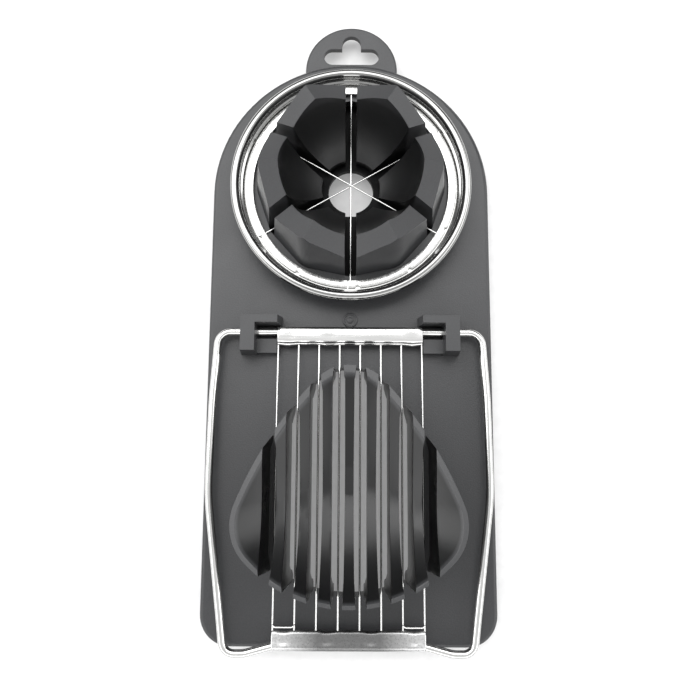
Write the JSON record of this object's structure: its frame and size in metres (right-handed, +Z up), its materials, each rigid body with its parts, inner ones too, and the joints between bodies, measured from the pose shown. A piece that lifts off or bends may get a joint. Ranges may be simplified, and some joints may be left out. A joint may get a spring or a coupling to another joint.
{
  "type": "egg slicer",
  "caption": "Hanging board with a ribbed dish and a hinged wire frame that slices an egg, beside a petal cup with a lift-off wire ring that cuts wedges.",
  "frame": {"origin": "on the table, under the middle of the object's box", "axes": "+Y towards the hanging tab, +X to the right seen from above with the tab away, +Z up"},
  "size_m": [0.09, 0.2004, 0.0369],
  "materials": {
    "board_plastic": "fine spark-eroded grain, mid grey",
    "lug_plastic": "satin mid grey",
    "dish_plastic": "smooth dark grey, satin",
    "petal_plastic": "smooth dark grey, satin",
    "rod_steel": "polished drawn rod",
    "sheet_steel": "polished folded sheet",
    "bar_steel": "bright folded sheet, slightly rough",
    "wire_steel": "bright drawn wire",
    "ring_steel": "polished pressed sheet",
    "band_steel": "bright satin sheet"
  },
  "bodies": {
    "base": {"base_board": "board_plastic", "moulded_boss": "board_plastic", "hanging_tab": "board_plastic", "hinge_lug_right": "lug_plastic", "hinge_lug_left": "lug_plastic", "slicer_cheek_left": "dish_plastic", "slicer_rib_1": "dish_plastic", "slicer_rib_2": "dish_plastic", "slicer_rib_3": "dish_plastic", "slicer_rib_4": "dish_plastic", "slicer_rib_5": "dish_plastic", "slicer_rib_6": "dish_plastic", "slicer_rib_7": "dish_plastic", "slicer_cheek_right": "dish_plastic", "wedger_petal_1": "petal_plastic", "wedger_petal_2": "petal_plastic", "wedger_petal_3": "petal_plastic", "wedger_petal_4": "petal_plastic", "wedger_petal_5": "petal_plastic", "wedger_petal_6": "petal_plastic", "ring_seat": "petal_plastic"},
    "slicer_frame": {"frame_rod": "rod_steel", "hinge_bar": "sheet_steel", "lifting_bar": "bar_steel", "slicer_wire_1": "wire_steel", "slicer_wire_2": "wire_steel", "slicer_wire_3": "wire_steel", "slicer_wire_4": "wire_steel", "slicer_wire_5": "wire_steel", "slicer_wire_6": "wire_steel", "slicer_wire_7": "wire_steel", "slicer_wire_8": "wire_steel"},
    "wedger_ring": {"ring_shell": "ring_steel", "ring_band": "band_steel", "wedger_wire_1": "wire_steel", "wedger_wire_2": "wire_steel", "wedger_wire_3": "wire_steel"}
  },
  "joints": [
    {"name": "frame_hinge", "type": "hinge", "parent": "base", "child": "slicer_frame", "pos_m": [0, -0.00475, 0.0105], "axis": [-1, 0, 0], "range_deg": [0, 100]},
    {"name": "ring_lift", "type": "slide", "parent": "base", "child": "wedger_ring", "axis": [0, 0, 1], "range_m": [0, 0.035]}
  ]
}
